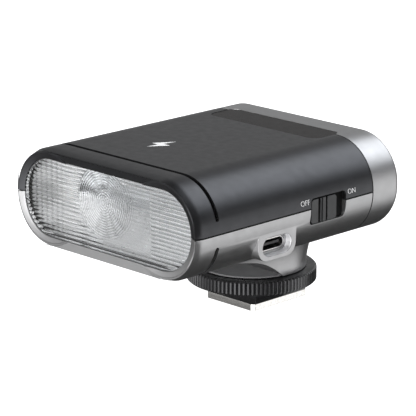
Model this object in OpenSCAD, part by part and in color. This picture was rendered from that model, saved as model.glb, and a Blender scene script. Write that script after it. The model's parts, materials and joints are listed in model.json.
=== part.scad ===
// Compact on-camera speedlight: lens to the front (-Y), switch and charging socket on the
// right (+X), locking ring and shoe foot below. The origin is on the ring's axis, at the
// underside of the foot. Sizes are in millimetres.

/* [Body] */
// Width of the body, side to side
body_w = 69.4; // [62:0.2:86]
// Height of the body's section
body_h = 27; // [22.4:0.1:33]
// Height of the flat band at the middle of each side
side_flat = 0.6; // [0.2:0.1:2]
// Reach of the front rim ahead of the foot's axis
front_reach = 55.2; // [50:0.1:67]
// Reach of the rear face behind the foot's axis
rear_reach = 22.1; // [20:0.1:27]
// Height of the belly above the underside of the foot
belly_z = 21.6; // [19:0.1:26]
// Thickness of the shell walls
wall = 1.8; // [1.5:0.1:2.2]
// Gap shown at the joints between the shells
seam_gap = 0.14; // [0.08:0.02:0.3]
// Depth of the rear cover, from its seam to the rear face
cover_depth = 11.2; // [10:0.1:13.5]
// Thickness of the rear cover's back wall
cover_back = 2; // [1.6:0.1:2.6]
// Radius of the rear cover's outer edge
cover_edge_r = 2; // [0.8:0.1:2.6]

/* [Front rim] */
// Width of the rim around the lens
rim_w = 2.8; // [2.4:0.1:3.6]
// Width of the rim's outer bevel, seen from the front
rim_bevel_w = 0.7; // [0.4:0.1:1.4]
// Depth of the rim's outer bevel
rim_bevel_d = 2.3; // [0.8:0.05:2.4]
// How far the rim falls inwards to the lens
rim_fall = 0.6; // [0.2:0.1:1]

/* [Grooves] */
// Distance of the trim groove behind the front rim
groove_back = 7.6; // [5:0.1:12]
// Width of the trim groove
groove_w = 1.1; // [0.6:0.1:1.6]
// Depth of the trim groove
groove_deep = 0.8; // [0.4:0.1:1]
// Plain length between the parting line and each groove end
groove_rest = 3.5; // [2:0.1:6]

/* [Lens and reflector] */
// Recess of the lens behind the rim's inner edge
lens_recess = 0.2; // [0:0.1:0.8]
// Thickness of the lens window
lens_t = 2; // [1.4:0.1:2.6]
// Thickness of the lens flange behind the rim
lens_flange_t = 1; // [0.6:0.1:1.6]
// Height of one prism rib of the lens
lens_rib = 1.05; // [0.8:0.05:2]
// Clearance around the lens
lens_fit = 0.1; // [0.05:0.05:0.2]
// Thickness of the lens gasket
gasket_t = 0.7; // [0.4:0.1:1.2]
// Focal length of the reflector's curve
reflector_f = 2; // [1.6:0.1:2.6]
// Thickness of the reflector sheet
reflector_t = 0.6; // [0.4:0.1:1]
// Radius of the flash tube
tube_r = 1.6; // [1.2:0.1:1.9]

/* [Optical window] */
// Width of the dark window on the top
window_w = 40.8; // [30:0.2:42]
// Length of the dark window, front to back
window_l = 10.3; // [7:0.1:12]
// Length of the window that stands in the rear cover
window_in_cover = 2.6; // [1.5:0.1:4]
// Thickness of the window
window_t = 1.1; // [0.8:0.1:1.3]
// Clearance around the window
window_fit = 0.12; // [0.05:0.01:0.2]

/* [Power switch] */
// Length of the switch recess
switch_l = 13.6; // [12:0.1:17]
// Height of the switch recess
switch_h = 7.3; // [6:0.1:8.8]
// Front edge of the switch recess, ahead of the foot's axis
switch_front = 13.4; // [11:0.05:15]
// Drop of the recess centre below the parting line
switch_drop = 1; // [0:0.1:2]
// Depth of the switch recess
switch_deep = 1.5; // [1.2:0.1:2]
// Length of the sliding knob
knob_l = 9.7; // [8:0.1:10.5]
// Clearance around the knob
knob_fit = 0.35; // [0.2:0.05:0.5]

/* [Charging socket] */
// Width of the flat boss
port_boss_w = 14; // [13:0.1:16]
// Height of the flat boss
port_boss_h = 7.3; // [6.8:0.1:8.6]
// Boss centre ahead of the foot's axis
port_ahead = 25.7; // [22:0.1:27]
// Drop of the boss top below the parting line
port_drop = 3.6; // [3.4:0.1:5]
// Width of the port opening
port_w = 10.8; // [10:0.1:11.6]
// Height of the port opening
port_h = 5.1; // [4.6:0.1:5.6]
// Setback of the socket behind the boss face
port_setback = 2; // [1:0.1:3]
// Width of the socket's steel shell
socket_w = 8.94; // [8.8:0.01:9.1]
// Height of the socket's steel shell
socket_h = 3.26; // [3.1:0.01:3.4]
// Length of the socket's steel shell
socket_l = 7.3; // [6.5:0.1:8.5]

/* [Neck and foot] */
// Radius of the neck at its rim
neck_r = 15.2; // [14:0.1:18.5]
// Height of the neck's rim above the underside of the foot
neck_z = 10.2; // [9.6:0.1:12]
// Radius of the neck's outward sweep
neck_flare_r = 25; // [20:0.5:40]
// Radius of the arch under the neck's front
arch_r = 28; // [22:0.5:36]
// Radius of the locking ring
ring_r = 18.1; // [16:0.1:21.8]
// Height of the locking ring
ring_h = 4; // [3.4:0.1:4.8]
// Number of ribs on the locking ring
ring_ribs = 94; // [60:2:120]
// Depth of the ribs
rib_deep = 0.5; // [0.3:0.05:0.8]
// Radius of the threaded post inside the ring
post_r = 9; // [8.9:0.1:10]
// Clearance between the post and the ring
thread_fit = 0.08; // [0.03:0.01:0.1]
// Travel of the ring and clamp washer down the post
clamp_travel = 2.5; // [1.5:0.1:2.6]
// Radius of the clamp washer
washer_r = 12; // [11:0.1:14]
// Thickness of the clamp washer
washer_t = 1.2; // [0.8:0.1:1.4]
// Width of the shoe foot
foot_w = 18.6; // [18.3:0.1:18.7]
// Length of the shoe foot
foot_l = 21.8; // [17.5:0.1:22]
// Thickness of the shoe foot
foot_t = 1.9; // [1.7:0.05:2]
// Front edge of the foot ahead of the contact's axis
foot_ahead = 8.75; // [8.5:0.05:9.5]
// Bevel of the foot's upright corners
foot_corner = 0.9; // [0.3:0.1:2]
// Width of the stem between the shoe rails
stem_w = 12.5; // [11.5:0.1:12.6]
// Radius of the sprung centre contact
contact_r = 1.5; // [1:0.1:1.8]
// Travel of the centre contact
contact_travel = 0.7; // [0.4:0.1:0.9]

/* [Rear controls] */
// Radius of the power dial
dial_r = 7.5; // [6:0.1:8.5]
// How far the dial stands out from the rear face
dial_out = 2.6; // [1.5:0.1:4]
// Distance of the dial and the test button from the middle
control_x = 18; // [15.5:0.1:20]
// Radius of the test button
test_r = 5; // [4:0.1:6]
// Radius of the mode button
mode_r = 3.4; // [2.6:0.1:4]
// How far the buttons stand out from the rear face
button_out = 1; // [0.8:0.1:1.6]
// Travel of the buttons
button_travel = 0.7; // [0.4:0.1:0.8]
// Clearance around the buttons
button_fit = 0.15; // [0.08:0.01:0.25]

/* [Inside] */
// Radius of the main capacitor
capacitor_r = 7; // [6:0.1:7.4]
// Length of the main capacitor
capacitor_l = 34; // [28:0.5:34]
// Width, length and thickness of the battery
battery = [34, 24, 8];
// Thickness of the circuit boards
board_t = 1.2; // [0.8:0.1:1.6]
// Distance of the screw columns from the middle
column_x = 20.5; // [20:0.1:21]
// Radius of the screw columns
column_r = 2.8; // [2.6:0.1:3]
// Radius of the shell screws
screw_r = 0.95; // [0.8:0.05:1.1]
// Clearance around screws in their holes
screw_fit = 0.06; // [0.03:0.01:0.1]

/* [Hidden] */
$fn = 96;

// Heights and ends of the body
corner_r = (body_h - side_flat) / 2;
corner_x = body_w / 2 - corner_r;
corner_z = body_h / 2 - corner_r;
mid_z = belly_z + body_h / 2;
top_z = belly_z + body_h;
front_y = -front_reach;
rear_y = rear_reach;
seam_y = rear_y - cover_depth;
rim_in_y = front_y + rim_fall;
half_gap = seam_gap / 2;
lip_t = 1;
lip_reach = 2;
lip_fit = 0.1;
groove_y = front_y + groove_back;

// Lens, gasket and reflector, one behind the other
lens_y = rim_in_y + lens_recess;
lens_seat_y = lens_y + lens_t;
lens_back_y = lens_seat_y + lens_flange_t;
rib_rise = 0.35;
stack_gap = 0.05;
gasket_y = lens_back_y + stack_gap;
mouth_y = gasket_y + gasket_t + stack_gap;
reflector_skin = 0.4;
mouth_r = corner_r - wall - reflector_skin - reflector_t;
focus_back = pow(mouth_r, 2) / (4 * reflector_f);
reflector_y = mouth_y + focus_back;
tube_y = reflector_y - reflector_f;
sleeve_r = tube_r + 0.9;
tube_out_x = corner_x + 2 * sqrt(reflector_f * (reflector_f + sleeve_r)) + reflector_t + 0.2;
tube_wall_gap = 0.8;
sleeve_l = (body_w / 2 - wall - tube_wall_gap - tube_out_x) / 2;
tube_end_x = tube_out_x + sleeve_l;
electrode_l = sleeve_l;

// Window, switch and port
window_y1 = seam_y + window_in_cover;
window_y0 = window_y1 - window_l;
window_ledge = 2;
switch_y0 = -switch_front;
switch_y1 = switch_y0 + switch_l;
switch_z = mid_z - switch_drop;
switch_floor_x = body_w / 2 - switch_deep;
switch_pad_t = 1.8;
switch_rim = 1.6;
knob_y0 = switch_y0 + knob_fit;
knob_travel = switch_l - knob_l - 2 * knob_fit;
knob_face_x = body_w / 2 - 0.2;
stem_pin = 2.6;
pin_fit = 0.3;
port_y = -port_ahead;
port_top_z = mid_z - port_drop;
port_z = port_top_z - port_boss_h / 2;
port_face_x = corner_x + sqrt(pow(corner_r, 2) - pow(port_drop - corner_z, 2));
port_corner_r = 3.4;
port_pocket_x = port_face_x - port_setback - 1;
port_room = [11.2, 4.9];
port_depth = 7.6;
socket_x1 = port_face_x - port_setback - 0.1;
socket_x0 = socket_x1 - socket_l;
socket_wall = 0.3;
usb_board_t = 0.8;

// Neck, ring and foot
neck_floor_t = 2;
neck_hollow_r = neck_r - 3;
deck_t = 0.5;
deck_rise = 0.7;
arch_start_y = -3.2;
arch_z = neck_z - sqrt(pow(arch_r, 2) - pow(18.9, 2));
arch_y = arch_start_y - 18.9;
ramp_angle = 11.3;
ramp_y = arch_y + arch_r * sin(ramp_angle);
ramp_z = arch_z + arch_r * cos(ramp_angle);
keel_reach = -ramp_y + (belly_z - ramp_z) / tan(ramp_angle);
ring_gap = 0.2;
ring_z = neck_z - ring_gap - ring_h;
ring_bevel = 0.45;
washer_in = 0.6;
washer_z = ring_z + washer_in - washer_t;
washer_fit = 0.15;
thread_hold = 0.7;
stem_top_z = ring_z + ring_h - clamp_travel - thread_hold;
stem_front = 4.65;
stem_rear = 6.2;
contact_fit = 0.05;
contact_head_r = 2.1;
contact_head_t = 0.8;
contact_bore_r = contact_head_r + 0.25;
contact_tip_z = 0.05;
contact_seat_z = foot_t + 0.3;
spring_l = 2.6;
spring_r = 1.6;
spring_wire = 0.5;
contact_room_z = contact_seat_z + contact_head_t + spring_l + contact_travel + 0.3;
wire_r = 1.1;
insulator_r = 3.5;
foot_screw_r = 0.8;
foot_screw_head_r = 1.6;
foot_screw_l = 5;
foot_screws_at = [[-4.6, -3.2], [4.6, -3.2], [-4.6, 4.6], [4.6, 4.6]];
neck_screw_ring = 6.3;
neck_screw_l = 5;
pan_head_t = 1.1;

// Screw columns of the shells: front pair and rear pair
column_front_y = reflector_y + reflector_t + column_r + 0.4;
column_rear_y = seam_y - lip_reach - column_r - 1.2;
columns_at = [[-column_x, column_front_y], [column_x, column_front_y],
    [-column_x, column_rear_y], [column_x, column_rear_y]];
shell_head_z = mid_z - 8.1;
shell_head_r = 1.9;
shell_screw_l = 13.5;

// Rear controls
face_in_y = rear_y - cover_back;
button_gap = 0.2;
flange_t = 1;
flange_w = 0.8;
key_t = 1.8;
controls_y = face_in_y - button_gap - flange_t - button_travel - button_gap - key_t;
dial_gap = 0.25;
dial_shaft_r = 2;
encoder_w = 11;
level_r = 0.8;
level_pitch = 3.4;
mode_z = mid_z - 3.2;
level_z = mid_z + 6;

// Inside
roof_gap = 2.1;
roof_z = top_z - wall - roof_gap;
board_gap = 1;
capacitor_y = reflector_y + reflector_t + 1.2 + capacitor_r;
capacitor_z = roof_z - capacitor_r;
capacitor_x = -capacitor_l / 2;
board_z = roof_z - 2 * capacitor_r - board_gap - board_t;
board_y0 = reflector_y + reflector_t + 2;
board_y1 = seam_y - lip_reach - 1.2;
board_x1 = column_x - column_r - 0.6;
board_x0 = -board_x1;
battery_z = roof_z - battery[2];
battery_y0 = capacitor_y + capacitor_r + 2.4;

black = "#2b2c2e";
silver = "#9b9c9e";
steel = "#c9cacc";
green = "#2f5a3c";

// ---- Shapes used by several pieces ----

// A flat outline (x, z) stretched from y0 to y1
module along_y(y0, y1) {
    translate([0, y1, 0]) rotate([90, 0, 0]) linear_extrude(height = y1 - y0) children();
}

// A flat outline (y, z) stretched from x0 to x1
module along_x(x0, x1) {
    translate([x0, 0, 0]) rotate([90, 0, 90]) linear_extrude(height = x1 - x0) children();
}

module rounded(w, h, r) {
    square([w - 2 * r, h], center = true);
    square([w, h - 2 * r], center = true);
    for (sx = [-1, 1], sy = [-1, 1])
        translate([sx * (w / 2 - r), sy * (h / 2 - r)]) circle(r);
}

// Section of the body, drawn in by inset
module section(inset) {
    translate([0, mid_z])
        rounded(body_w - 2 * inset, body_h - 2 * inset, corner_r - inset);
}

// A profile (distance from the corner centre, y) carried round the body's section
module carried_round(y0, y1) {
    translate([0, 0, mid_z]) {
        for (sx = [-1, 1], sz = [-1, 1])
            translate([sx * corner_x, 0, sz * corner_z])
                rotate([-90, 0, 0]) rotate_extrude() children();
        for (m = [0, 1]) mirror([0, 0, m])
            along_x(-corner_x, corner_x)
                translate([0, corner_z]) mirror([1, -1, 0]) children();
        for (m = [0, 1]) mirror([m, 0, 0])
            translate([corner_x, 0, -corner_z]) linear_extrude(2 * corner_z) children();
        translate([-corner_x, y0, -corner_z]) cube([2 * corner_x, y1 - y0, 2 * corner_z]);
    }
}

// Everything above (side = 1) or below (side = -1) the parting line
module half_space(side) {
    reach = body_w + body_h;
    translate([-reach, front_y - 1, side > 0 ? mid_z + half_gap : mid_z - half_gap - reach])
        cube([2 * reach, front_reach + rear_reach + 2, reach]);
}

// The closed outer form of both shells
module shell_form() {
    carried_round(rim_in_y, seam_y - half_gap)
        polygon([[0, rim_in_y], [corner_r - rim_w, rim_in_y],
            [corner_r - rim_bevel_w, front_y], [corner_r, front_y + rim_bevel_d],
            [corner_r, seam_y - half_gap], [0, seam_y - half_gap]]);
}

module shell_room() {
    along_y(lens_seat_y, seam_y + 1) section(wall);
    along_y(front_y - 1, lens_seat_y + 1) section(rim_w);
}

// Trim groove of one half, with round ends beside the parting line
module trim_groove(side) {
    end_z = groove_rest + groove_w / 2;
    intersection() {
        along_y(groove_y - groove_w / 2, groove_y + groove_w / 2) difference() {
            section(-1);
            section(groove_deep);
        }
        translate([-body_w, groove_y - groove_w, side > 0 ? mid_z + end_z : mid_z - end_z - body_h])
            cube([2 * body_w, 2 * groove_w, body_h]);
    }
    for (sx = [-1, 1])
        translate([sx * body_w / 2, groove_y, mid_z + side * end_z])
            rotate([0, 90, 0]) cylinder(h = 2 * groove_deep + 0.6, d = groove_w, center = true);
}

module switch_outline(grow) {
    translate([(switch_y0 + switch_y1) / 2, switch_z])
        rounded(switch_l + 2 * grow, switch_h + 2 * grow, 1.3 + grow);
}

// Thick patch of wall behind the switch recess
module switch_pad() {
    intersection() {
        shell_form();
        along_x(switch_floor_x - switch_pad_t, body_w / 2) switch_outline(switch_rim);
    }
}

module switch_cut() {
    pin_y = knob_y0 + knob_l / 2;
    along_x(switch_floor_x, body_w / 2 + 1) switch_outline(0);
    translate([switch_floor_x - switch_pad_t - 1, pin_y - stem_pin / 2 - pin_fit,
            switch_z - stem_pin / 2 - pin_fit])
        cube([switch_pad_t + 2, stem_pin + 2 * pin_fit + knob_travel, stem_pin + 2 * pin_fit]);
}

// Pocket for the optical window, and the light opening under it
module window_cut() {
    r = 2.6;
    translate([0, (window_y0 + window_y1) / 2, top_z - window_t - 0.1])
        linear_extrude(window_t + 2)
            rounded(window_w + 2 * window_fit, window_l + 2 * window_fit, r + window_fit);
    light_x = window_w / 2 - 3 * window_ledge;
    translate([-light_x, window_y0 + window_ledge, top_z - wall - lip_fit - lip_t - 0.5])
        cube([2 * light_x, window_l - 2 * window_ledge, body_h]);
}

module column(z0, z1) {
    for (p = columns_at) translate([p[0], p[1], z0]) cylinder(h = z1 - z0, r = column_r);
}

// Rounded stadium lying in the (y, z) plane
module pill(w, h) {
    square([w - h, h], center = true);
    for (s = [-1, 1]) translate([s * (w - h) / 2, 0]) circle(h / 2);
}

// ---- Casing ----

module top_shell() {
    color(black) difference() {
        union() {
            difference() {
                intersection() {
                    shell_form();
                    half_space(1);
                }
                shell_room();
            }
            intersection() {
                union() {
                    switch_pad();
                    column(mid_z, top_z - wall / 2);
                }
                shell_form();
                half_space(1);
            }
        }
        trim_groove(1);
        window_cut();
        switch_cut();
        for (p = columns_at)
            translate([p[0], p[1], mid_z - 1])
                cylinder(h = shell_head_z + shell_screw_l + 1.4 - mid_z, r = screw_r + screw_fit);
    }
}

// Side outline of the neck: straight at the rim, sweeping outwards to the belly
function flare(z) = neck_r + neck_flare_r - sqrt(pow(neck_flare_r, 2) - pow(z - neck_z, 2));
flare_steps = 8;
flare_points = [for (i = [0:flare_steps])
    let (z = neck_z + (belly_z - neck_z) * i / flare_steps) [flare(z), z]];
neck_top_z = belly_z + wall / 2;
neck_side = concat([[0, neck_z]], flare_points,
    [[flare(belly_z), neck_top_z], [0, neck_top_z]]);

module neck_form() {
    rotate_extrude() polygon(neck_side);
    along_y(-keel_reach - 2, 0) {
        polygon(neck_side);
        mirror([1, 0]) polygon(neck_side);
    }
}

// Space below the arch and the ramp under the neck's front, grown upwards by skin
module arch_cut(skin) {
    far_y = ramp_y - keel_reach;
    along_x(-body_w, body_w) {
        intersection() {
            translate([arch_y, arch_z]) circle(arch_r + skin, $fn = 180);
            translate([far_y, neck_z - 2]) square([ramp_y + 10 - far_y + arch_r, arch_r]);
        }
        polygon([[ramp_y, ramp_z + skin], [far_y, ramp_z + skin + (ramp_y - far_y) * tan(ramp_angle)],
            [far_y, neck_z - 2], [ramp_y, neck_z - 2]]);
    }
}

module neck() {
    difference() {
        neck_form();
        arch_cut(0);
        translate([-body_w, seam_y - half_gap, belly_z - seam_gap]) cube([2 * body_w, body_w, body_h]);
    }
    translate([0, 0, neck_z]) {
        cylinder(h = deck_t, r = neck_r);
        translate([0, 0, deck_t]) cylinder(h = deck_rise, r1 = neck_r, r2 = neck_r / 3);
    }
}

// Flat boss: square corners above, round corners below
module port_boss() {
    along_x(port_pocket_x - port_depth, port_face_x) translate([port_y, port_z]) {
        rounded(port_boss_w, port_boss_h, port_corner_r);
        translate([-port_boss_w / 2, 0]) square([port_boss_w, port_boss_h / 2]);
    }
}

module port_cut() {
    along_x(port_face_x - port_setback, port_face_x + 1)
        translate([port_y, port_z]) pill(port_w, port_h);
    along_x(port_pocket_x - 1, port_face_x)
        translate([port_y, port_z]) pill(socket_w + 0.2, socket_h + 0.2);
    along_x(port_pocket_x - port_depth - 1, port_pocket_x)
        translate([port_y, port_z]) square(port_room, center = true);
}

module bottom_shell() {
    color(silver) difference() {
        union() {
            difference() {
                union() {
                    intersection() {
                        shell_form();
                        half_space(-1);
                    }
                    neck();
                }
                shell_room();
            }
            port_boss();
            intersection() {
                union() {
                    switch_pad();
                    column(belly_z, mid_z);
                }
                shell_form();
                half_space(-1);
            }
        }
        difference() {
            translate([0, 0, neck_z + neck_floor_t]) cylinder(h = belly_z - neck_z, r = neck_hollow_r);
            arch_cut(wall + 0.4);
        }
        trim_groove(-1);
        switch_cut();
        port_cut();
        for (p = columns_at) translate([p[0], p[1], 0]) {
            translate([0, 0, belly_z - 1]) cylinder(h = shell_head_z - belly_z + 1, r = shell_head_r + 0.1);
            translate([0, 0, belly_z]) cylinder(h = body_h, r = screw_r + screw_fit);
        }
        translate([0, 0, neck_z - 1]) cylinder(h = neck_floor_t + 2, r = wire_r + 1);
        at_neck_screws(neck_z - 1) cylinder(h = neck_floor_t + 2, r = foot_screw_r + screw_fit);
    }
}

module cover_form() {
    y0 = seam_y + half_gap;
    carried_round(y0, rear_y) union() {
        translate([0, y0]) square([corner_r, cover_depth - half_gap - cover_edge_r]);
        translate([0, y0]) square([corner_r - cover_edge_r, cover_depth - half_gap]);
        translate([corner_r - cover_edge_r, rear_y - cover_edge_r]) circle(cover_edge_r);
    }
}

module rear_cover() {
    color(silver) difference() {
        union() {
            difference() {
                cover_form();
                along_y(seam_y - 1, face_in_y) section(wall);
            }
            along_y(seam_y - lip_reach, seam_y + 1) difference() {
                section(wall + lip_fit);
                section(wall + lip_fit + lip_t);
            }
            along_y(seam_y + 0.5, seam_y + 2.5) difference() {
                section(wall / 2);
                section(wall + lip_fit + lip_t);
            }
        }
        window_cut();
        controls(0) {
            cylinder(h = 2 * cover_depth, r = dial_shaft_r + 0.05, center = true);
            cylinder(h = 2 * cover_depth, r = test_r + button_fit, center = true);
            cylinder(h = 2 * cover_depth, r = mode_r + button_fit, center = true);
        }
        lights() cylinder(h = 2 * cover_depth, r = level_r + 0.05, center = true);
    }
}

// Places the dial, the test button and the mode button, each facing the rear (+Y)
module controls(out) {
    translate([control_x, rear_y + out, mid_z]) rotate([-90, 0, 0]) children(0);
    if ($children > 1)
        translate([-control_x, rear_y + out, mid_z]) rotate([-90, 0, 0]) children(1);
    if ($children > 2)
        translate([0, rear_y + out, mode_z]) rotate([-90, 0, 0]) children(2);
}

module lights() {
    for (i = [-2:2])
        translate([i * level_pitch, rear_y, level_z]) rotate([-90, 0, 0]) children();
}

// ---- Light head ----

// Horizontal prism ribs in section (y, z), from the lens face back to depth
module rib_profile(y_face, y_back) {
    count = ceil(body_h / lens_rib / 2) + 1;
    points = [for (i = [-count:count], k = [0, 1])
        [y_face + (k == 0 ? rib_rise : 0), mid_z + (i + k / 2) * lens_rib]];
    polygon(concat(points, [[y_back, mid_z + (count + 0.5) * lens_rib],
        [y_back, mid_z - count * lens_rib]]));
}

module front_lens() {
    color("#d9e2e6", 0.6) {
        intersection() {
            along_y(lens_y, lens_seat_y) section(rim_w + lens_fit);
            along_x(-body_w, body_w) rib_profile(lens_y, lens_seat_y + 1);
        }
        along_y(lens_seat_y, lens_back_y) section(wall + lens_fit);
    }
}

module lens_gasket() {
    color(black) along_y(gasket_y, gasket_y + gasket_t) difference() {
        section(wall + lens_fit);
        section(corner_r - mouth_r);
    }
}

// Parabolic half outline (distance from the axis, y), grown by t
function parabola(t) = concat([[0, reflector_y + t]],
    [for (i = [1:12]) let (r = mouth_r * i / 12, s = r / (2 * reflector_f), n = sqrt(1 + s * s))
        [r + t * s / n, reflector_y - r * r / (4 * reflector_f) + t / n]]);

module bowl(t, past) {
    edge = parabola(t);
    last = edge[len(edge) - 1];
    tip = mouth_y - past;
    carried_round(tip, reflector_y + t)
        polygon(concat(edge, [[last[0], tip], [0, tip]]));
}

module reflector() {
    color("#e6e8ea") difference() {
        intersection() {
            bowl(reflector_t, 0);
            along_y(mouth_y, reflector_y + reflector_t) section(corner_r - mouth_r - reflector_t);
        }
        bowl(0, 1);
        translate([0, tube_y, mid_z]) rotate([0, 90, 0])
            cylinder(h = 2 * tube_end_x, r = tube_r + 0.2, center = true);
    }
}

module flash_tube() {
    color("#eef3f5", 0.5) translate([0, tube_y, mid_z]) rotate([0, 90, 0]) difference() {
        cylinder(h = 2 * tube_end_x, r = tube_r, center = true);
        cylinder(h = 2 * (tube_end_x - 2), r = tube_r - 0.5, center = true);
    }
}

module tube_electrodes() {
    color(steel) for (s = [-1, 1])
        translate([s * (tube_end_x + electrode_l / 2), tube_y, mid_z]) rotate([0, 90, 0])
            cylinder(h = electrode_l, r = 0.6, center = true);
}

module tube_sleeves() {
    color("#d8d4c8") for (s = [-1, 1])
        translate([s * (tube_end_x - sleeve_l / 2), tube_y, mid_z]) rotate([0, 90, 0])
            difference() {
                cylinder(h = sleeve_l, r = sleeve_r, center = true);
                cylinder(h = sleeve_l + 1, r = tube_r + 0.02, center = true);
            }
}

module optical_window() {
    color("#2a1114", 0.95) translate([0, (window_y0 + window_y1) / 2, top_z - window_t - 0.1])
        linear_extrude(window_t) rounded(window_w, window_l, 2.6);
}

module slave_sensor() {
    color("#4a3030") translate([-2.2, seam_y - 5.4, top_z - wall - 2.4]) {
        cube([4.4, 3, 1.4]);
        translate([2.2, 1.5, 1.4]) cylinder(h = 0.7, r = 1.1);
    }
}

// ---- Power switch ----

module power_knob() {
    z0 = switch_z - switch_h / 2 + knob_fit;
    height = switch_h - 2 * knob_fit;
    base_x = switch_floor_x + 0.1;
    pin_y = knob_y0 + knob_l / 2;
    cuts = [[2.7, 0.75], [3.95, 0.4], [5.6, 0.55]];
    color(black) difference() {
        union() {
            along_x(base_x, knob_face_x) translate([pin_y, switch_z]) rounded(knob_l, height, 1);
            translate([switch_floor_x - switch_pad_t - 1.6, pin_y - stem_pin / 2, switch_z - stem_pin / 2])
                cube([switch_pad_t + 2.2, stem_pin, stem_pin]);
        }
        for (c = cuts)
            translate([knob_face_x - 0.7, knob_y0 + c[0] * knob_l / 9.7, z0 - 1])
                cube([2, c[1], height + 2]);
    }
}

module slide_switch() {
    x1 = switch_floor_x - switch_pad_t - 0.5;
    y_mid = knob_y0 + knob_l / 2 + knob_travel / 2;
    color(steel) difference() {
        translate([x1 - 3.4, y_mid - 5, switch_z - 2.3]) cube([3.4, 10, 4.6]);
        translate([x1 - 1.8, y_mid - (stem_pin + knob_travel) / 2 - pin_fit,
                switch_z - stem_pin / 2 - pin_fit])
            cube([3, stem_pin + knob_travel + 2 * pin_fit, stem_pin + 2 * pin_fit]);
    }
}

module switch_board() {
    x1 = switch_floor_x - switch_pad_t - 0.5 - 3.4;
    y_mid = knob_y0 + knob_l / 2 + knob_travel / 2;
    color(green) translate([x1 - board_t, y_mid - 7, switch_z - 4]) cube([board_t, 14, 8]);
}

// ---- Charging socket ----

module usb_socket() {
    color(steel) translate([0, port_y, port_z]) difference() {
        along_x(socket_x0, socket_x1) pill(socket_w, socket_h);
        along_x(socket_x0 + 0.8, socket_x1 + 1)
            pill(socket_w - 2 * socket_wall, socket_h - 2 * socket_wall);
    }
}

module usb_tongue() {
    color("#1c1c1e") translate([socket_x0 + 0.8, port_y, port_z]) {
        translate([0, -3.34, -0.35]) cube([socket_l - 1.4, 6.68, 0.7]);
        translate([0, -3.5, -1.1]) cube([1.6, 7, 2.2]);
    }
}

module usb_board() {
    color(green) translate([port_pocket_x - port_depth + 0.5, port_y - 5.3,
            port_z - socket_h / 2 - usb_board_t])
        cube([port_depth - 1, 10.6, usb_board_t]);
}

// ---- Ring, stem and foot ----

// Ribbed outline of the ring: a flat tip and a sharp root for each rib
rib_step = 360 / ring_ribs;
ring_points = [for (i = [0:ring_ribs - 1], k = [0:2])
    let (a = (i + [0.1, 0.5, 0.8][k]) * rib_step, r = k == 2 ? ring_r - rib_deep : ring_r)
    [r * cos(a), r * sin(a)]];

module locking_ring() {
    color("#1d1d1f") translate([0, 0, ring_z]) difference() {
        intersection() {
            linear_extrude(ring_h) polygon(ring_points);
            rotate_extrude() polygon([[0, 0], [ring_r - ring_bevel, 0], [ring_r + 0.05, ring_bevel],
                [ring_r + 0.05, ring_h - ring_bevel], [ring_r - ring_bevel, ring_h], [0, ring_h]]);
        }
        translate([0, 0, -1]) cylinder(h = ring_h + 2, r = post_r + thread_fit);
        translate([0, 0, -1]) cylinder(h = washer_in + 1.2, r = washer_r + 0.3);
    }
}

module clamp_washer() {
    color("#3a3a3c") translate([0, 0, washer_z]) difference() {
        cylinder(h = washer_t, r = washer_r);
        translate([-stem_w / 2 - washer_fit, -stem_front - washer_fit, -1])
            cube([stem_w + 2 * washer_fit, stem_front + stem_rear + 2 * washer_fit, washer_t + 2]);
    }
}

module at_foot_screws() {
    for (p = foot_screws_at) translate([p[0], p[1], 0]) children();
}

module at_neck_screws(z) {
    for (a = [0, 90, 180]) rotate(a) translate([neck_screw_ring, 0, z]) children();
}

module shoe_stem() {
    color(black) difference() {
        union() {
            translate([-stem_w / 2, -stem_front, foot_t])
                cube([stem_w, stem_front + stem_rear, stem_top_z - foot_t]);
            translate([0, 0, stem_top_z]) cylinder(h = neck_z - stem_top_z, r = post_r);
        }
        translate([0, 0, foot_t - 1]) cylinder(h = contact_room_z - foot_t + 1, r = contact_bore_r);
        translate([0, 0, foot_t]) cylinder(h = neck_z, r = wire_r);
        at_foot_screws() cylinder(h = foot_screw_l + 0.4, r = foot_screw_r + screw_fit);
        at_neck_screws(neck_z + neck_floor_t - neck_screw_l - 0.3)
            cylinder(h = neck_screw_l, r = foot_screw_r + screw_fit);
    }
}

module foot_outline() {
    y0 = -foot_ahead;
    y1 = foot_l - foot_ahead;
    x = foot_w / 2;
    c = foot_corner;
    polygon([[-x, y0 + c], [-x + c, y0], [x - c, y0], [x, y0 + c],
        [x, y1 - c], [x - c, y1], [-x + c, y1], [-x, y1 - c]]);
}

module shoe_foot() {
    color(steel) difference() {
        linear_extrude(foot_t) foot_outline();
        translate([0, 0, -1]) cylinder(h = foot_t + 2, r = insulator_r + 0.05);
        at_foot_screws() {
            translate([0, 0, -1]) cylinder(h = foot_t + 2, r = foot_screw_r + screw_fit);
            translate([0, 0, -0.1]) cylinder(h = 1.2, r1 = foot_screw_head_r + 0.2, r2 = foot_screw_r + 0.1);
        }
    }
}

module foot_insulator() {
    color("#1a1a1c") difference() {
        translate([0, 0, contact_tip_z]) cylinder(h = foot_t - contact_tip_z, r = insulator_r);
        translate([0, 0, -1]) cylinder(h = foot_t + 2, r = contact_r + contact_fit);
    }
}

module centre_contact() {
    color("#c8a24a") {
        translate([0, 0, contact_tip_z]) cylinder(h = contact_seat_z - contact_tip_z, r = contact_r);
        translate([0, 0, contact_seat_z]) cylinder(h = contact_head_t, r = contact_head_r);
    }
}

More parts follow.
